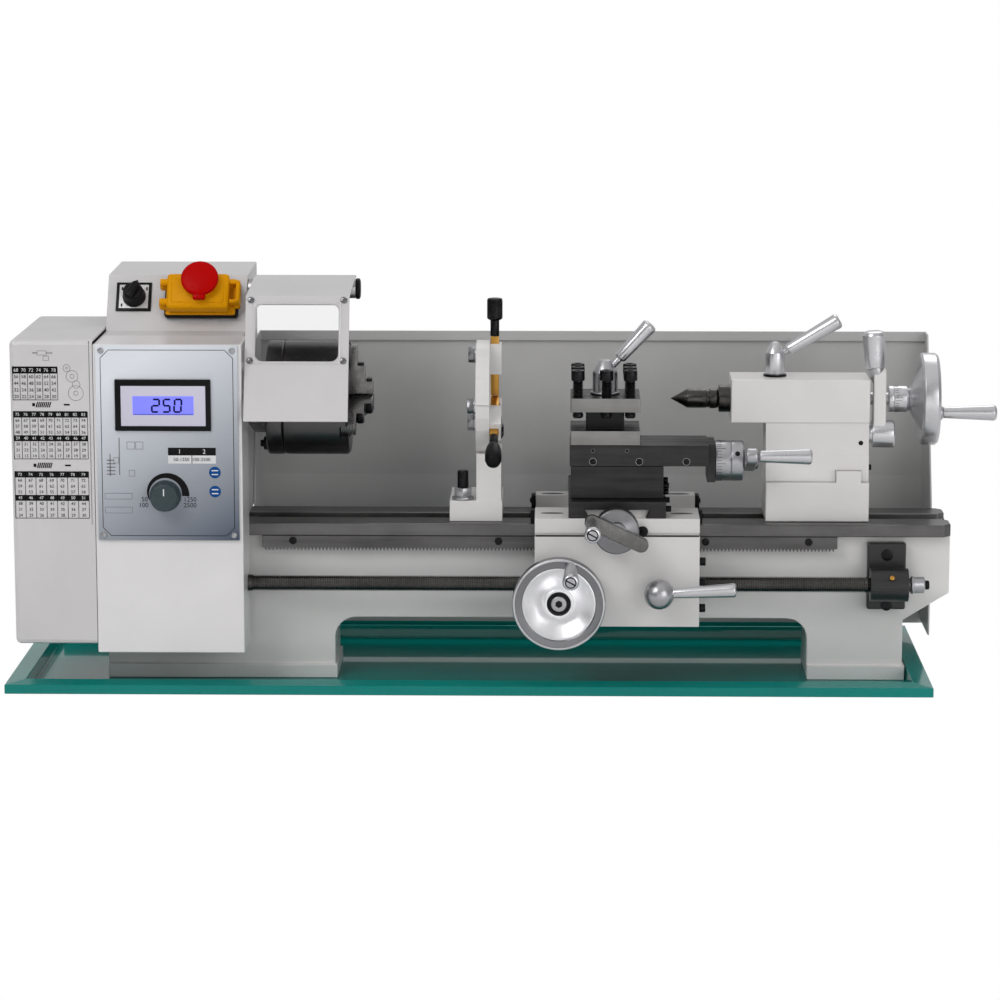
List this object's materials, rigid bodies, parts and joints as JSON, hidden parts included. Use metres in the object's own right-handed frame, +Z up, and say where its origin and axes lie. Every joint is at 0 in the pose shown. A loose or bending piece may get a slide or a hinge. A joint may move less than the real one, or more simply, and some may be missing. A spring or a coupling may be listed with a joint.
{
  "type": "metal lathe",
  "caption": "Bench metal lathe on a chip tray: headstock with chuck and guard, steady rest, carriage with compound slide, tailstock.",
  "frame": {"origin": "centre of the chip tray's underside", "axes": "+X from the headstock to the tailstock, -Y towards the operator, +Z up"},
  "size_m": [0.859, 0.331, 0.367],
  "materials": {
    "black": "satin",
    "brass": "machined",
    "bright": "polished",
    "clear": "clear",
    "dark_steel": "machined",
    "grey_sheet": "satin",
    "knob": "satin",
    "paint": "gloss",
    "panel": "satin",
    "red": "gloss",
    "rubber": "matt",
    "steel": "machined",
    "teal": "gloss",
    "yellow": "gloss"
  },
  "bodies": {
    "frame": {"chip_tray": "teal", "bed_casting": "paint", "rack": "dark_steel", "headstock_casting": "paint", "front_bearing": "steel", "rear_bearing": "steel", "motor_housing": "black", "drive_belt": "rubber", "gear_bracket": "paint", "leadscrew_bracket": "black", "gear_cover": "paint", "control_box": "paint", "control_panel": "panel", "headstock_cover": "paint", "splash_guard": "grey_sheet", "stop_switch_box": "yellow"},
    "spindle": {"spindle": "steel", "chuck_backplate": "black", "chuck_body": "black", "spindle_pulley": "steel", "spindle_gear": "steel"},
    "jaw_1": {"chuck_jaw_1": "steel"},
    "jaw_2": {"chuck_jaw_2": "steel"},
    "jaw_3": {"chuck_jaw_3": "steel"},
    "motor_rotor": {"motor_pulley": "steel"},
    "idler": {"idler_gear": "steel"},
    "leadscrew": {"leadscrew": "dark_steel", "leadscrew_gear": "steel"},
    "guard": {"guard_rod": "black", "guard_sheet": "paint", "guard_window": "clear"},
    "stop_lid": {"stop_switch_lid": "yellow"},
    "stop_button": {"stop_button": "red"},
    "selector": {"selector_knob": "knob"},
    "speed_knob": {"speed_knob": "knob"},
    "carriage": {"saddle": "paint", "apron": "paint"},
    "carriage_wheel": {"carriage_handwheel": "bright"},
    "rack_gear": {"rack_gear": "steel"},
    "half_nut": {"half_nut": "brass"},
    "half_nut_lever": {"half_nut_lever": "bright"},
    "cross_crank": {"cross_crank": "bright"},
    "cross_slide": {"cross_slide": "dark_steel"},
    "compound_base": {"compound_base": "dark_steel"},
    "top_slide": {"top_slide": "dark_steel"},
    "compound_crank": {"compound_crank": "bright"},
    "tool_post": {"tool_post": "steel"},
    "tool_post_lever": {"tool_post_lever": "bright"},
    "tailstock": {"tailstock_base": "paint", "tailstock_body": "paint"},
    "quill": {"quill": "steel", "dead_centre": "steel"},
    "tail_wheel": {"tailstock_handwheel": "bright"},
    "quill_lock": {"quill_lock_lever": "bright"},
    "tail_clamp": {"tailstock_clamp_lever": "bright"},
    "steady": {"steady_lower_frame": "paint"},
    "steady_top": {"steady_upper_frame": "paint"},
    "finger_top": {"steady_finger_top": "brass"},
    "finger_front": {"steady_finger_front": "brass"},
    "finger_rear": {"steady_finger_rear": "brass"}
  },
  "joints": [
    {"name": "spindle_spin", "type": "hinge", "parent": "frame", "child": "spindle", "pos_m": [-0.106, -0.016, 0.246], "axis": [1, 0, 0], "continuous": true},
    {"name": "motor_spin", "type": "hinge", "parent": "frame", "child": "motor_rotor", "pos_m": [-0.312, 0.057, 0.205], "axis": [1, 0, 0], "continuous": true},
    {"name": "idler_spin", "type": "hinge", "parent": "frame", "child": "idler", "pos_m": [-0.345, -0.02572, 0.17163], "axis": [1, 0, 0], "continuous": true},
    {"name": "leadscrew_spin", "type": "hinge", "parent": "frame", "child": "leadscrew", "pos_m": [-0.345, -0.075, 0.091], "axis": [1, 0, 0], "continuous": true},
    {"name": "jaw_1_slide", "type": "slide", "parent": "spindle", "child": "jaw_1", "axis": [0, 0, 1], "range_m": [0, 0.02]},
    {"name": "jaw_2_slide", "type": "slide", "parent": "spindle", "child": "jaw_2", "axis": [0, -0.866, -0.5], "range_m": [0, 0.02]},
    {"name": "jaw_3_slide", "type": "slide", "parent": "spindle", "child": "jaw_3", "axis": [0, 0.866, -0.5], "range_m": [0, 0.02]},
    {"name": "guard_hinge", "type": "hinge", "parent": "frame", "child": "guard", "pos_m": [-0.191, 0.004, 0.34], "axis": [-1, 0, 0], "range_deg": [0, 100]},
    {"name": "stop_lid_hinge", "type": "hinge", "parent": "frame", "child": "stop_lid", "pos_m": [-0.273, -0.02181, 0.33587], "axis": [0, -0.5421, -0.8403], "range_deg": [0, 75]},
    {"name": "stop_button_press", "type": "slide", "parent": "stop_lid", "child": "stop_button", "axis": [0, 0.8403, -0.5421], "range_m": [0, 0.004], "stiffness_N_per_m": 500},
    {"name": "selector_turn", "type": "hinge", "parent": "frame", "child": "selector", "pos_m": [-0.295, -0.01111, 0.33373], "axis": [0, -0.8403, 0.5421], "range_deg": [-45, 45]},
    {"name": "speed_knob_turn", "type": "hinge", "parent": "frame", "child": "speed_knob", "pos_m": [-0.259, -0.1216, 0.176], "axis": [0, 1, 0], "range_deg": [0, 270]},
    {"name": "carriage_slide", "type": "slide", "parent": "frame", "child": "carriage", "axis": [1, 0, 0], "range_m": [-0.018, 0.02]},
    {"name": "carriage_wheel_turn", "type": "hinge", "parent": "carriage", "child": "carriage_wheel", "pos_m": [0.078, -0.13, 0.085], "axis": [0, 1, 0], "continuous": true},
    {"name": "rack_gear_turn", "type": "hinge", "parent": "carriage", "child": "rack_gear", "pos_m": [0.09832, -0.058, 0.111], "axis": [0, 1, 0], "continuous": true},
    {"name": "half_nut_lever_turn", "type": "hinge", "parent": "carriage", "child": "half_nut_lever", "pos_m": [0.164, -0.126, 0.092], "axis": [0, -1, 0], "range_deg": [0, 40]},
    {"name": "half_nut_slide", "type": "slide", "parent": "carriage", "child": "half_nut", "axis": [0, 0, 1], "range_m": [0, 0.0075]},
    {"name": "cross_crank_turn", "type": "hinge", "parent": "carriage", "child": "cross_crank", "pos_m": [0.127, -0.13, 0.147], "axis": [0, -1, 0], "range_deg": [-9905, 905]},
    {"name": "cross_slide_feed", "type": "slide", "parent": "carriage", "child": "cross_slide", "axis": [0, -1, 0], "range_m": [-0.055, 0.005]},
    {"name": "compound_swivel", "type": "hinge", "parent": "cross_slide", "child": "compound_base", "pos_m": [0.128, -0.058, 0.1688], "axis": [0, 0, 1], "range_deg": [-60, 0]},
    {"name": "compound_crank_turn", "type": "hinge", "parent": "top_slide", "child": "compound_crank", "pos_m": [0.23, -0.058, 0.1975], "axis": [1, 0, 0], "range_deg": [-81, 101]},
    {"name": "top_slide_feed", "type": "slide", "parent": "compound_base", "child": "top_slide", "axis": [1, 0, 0], "range_m": [-0.000333, 0.000416]},
    {"name": "tool_post_turn", "type": "hinge", "parent": "top_slide", "child": "tool_post", "pos_m": [0.1175, -0.058, 0.2153], "axis": [0, 0, 1], "continuous": true},
    {"name": "tool_post_lever_turn", "type": "hinge", "parent": "tool_post", "child": "tool_post_lever", "pos_m": [0.1175, -0.058, 0.2563], "axis": [0, 0, 1], "range_deg": [-30, 60]},
    {"name": "tailstock_slide", "type": "slide", "parent": "frame", "child": "tailstock", "axis": [1, 0, 0], "range_m": [-0.018, 0.06]},
    {"name": "tail_wheel_turn", "type": "hinge", "parent": "tailstock", "child": "tail_wheel", "pos_m": [0.402, -0.016, 0.246], "axis": [-1, 0, 0], "range_deg": [0, 8995]},
    {"name": "quill_feed", "type": "slide", "parent": "tailstock", "child": "quill", "axis": [-1, 0, 0], "range_m": [0, 0.05]},
    {"name": "quill_lock_turn", "type": "hinge", "parent": "tailstock", "child": "quill_lock", "pos_m": [0.267, -0.016, 0.2663], "axis": [0, 0, 1], "range_deg": [-60, 60]},
    {"name": "tail_clamp_turn", "type": "hinge", "parent": "tailstock", "child": "tail_clamp", "pos_m": [0.357, -0.03, 0.217], "axis": [1, 0, 0], "range_deg": [0, 90]},
    {"name": "steady_slide", "type": "slide", "parent": "frame", "child": "steady", "axis": [1, 0, 0], "range_m": [-0.055, 0.018]},
    {"name": "steady_top_hinge", "type": "hinge", "parent": "steady", "child": "steady_top", "pos_m": [0.011, 0.035, 0.246], "axis": [-1, 0, 0], "range_deg": [0, 70]},
    {"name": "finger_top_slide", "type": "slide", "parent": "steady_top", "child": "finger_top", "axis": [0, 0, 1], "range_m": [0, 0.025]},
    {"name": "finger_front_slide", "type": "slide", "parent": "steady", "child": "finger_front", "axis": [0, -0.866, -0.5], "range_m": [0, 0.025]},
    {"name": "finger_rear_slide", "type": "slide", "parent": "steady", "child": "finger_rear", "axis": [0, 0.866, -0.5], "range_m": [0, 0.025]}
  ],
  "couplings": [
    {"joint": "motor_spin", "follows": "spindle_spin", "ratio": 2.7},
    {"joint": "idler_spin", "follows": "spindle_spin", "ratio": -0.31579},
    {"joint": "leadscrew_spin", "follows": "spindle_spin", "ratio": 0.48},
    {"joint": "jaw_2_slide", "follows": "jaw_1_slide", "ratio": 1},
    {"joint": "jaw_3_slide", "follows": "jaw_1_slide", "ratio": 1},
    {"joint": "rack_gear_turn", "follows": "carriage_slide", "rad_per_m": -142.86},
    {"joint": "carriage_wheel_turn", "follows": "carriage_slide", "rad_per_m": 446.43},
    {"joint": "half_nut_slide", "follows": "half_nut_lever_turn", "m_per_rad": 0.0106},
    {"joint": "cross_crank_turn", "follows": "cross_slide_feed", "rad_per_m": 3141.6},
    {"joint": "compound_crank_turn", "follows": "top_slide_feed", "rad_per_m": 4188.8},
    {"joint": "quill_feed", "follows": "tail_wheel_turn", "m_per_rad": 0.00031831}
  ]
}
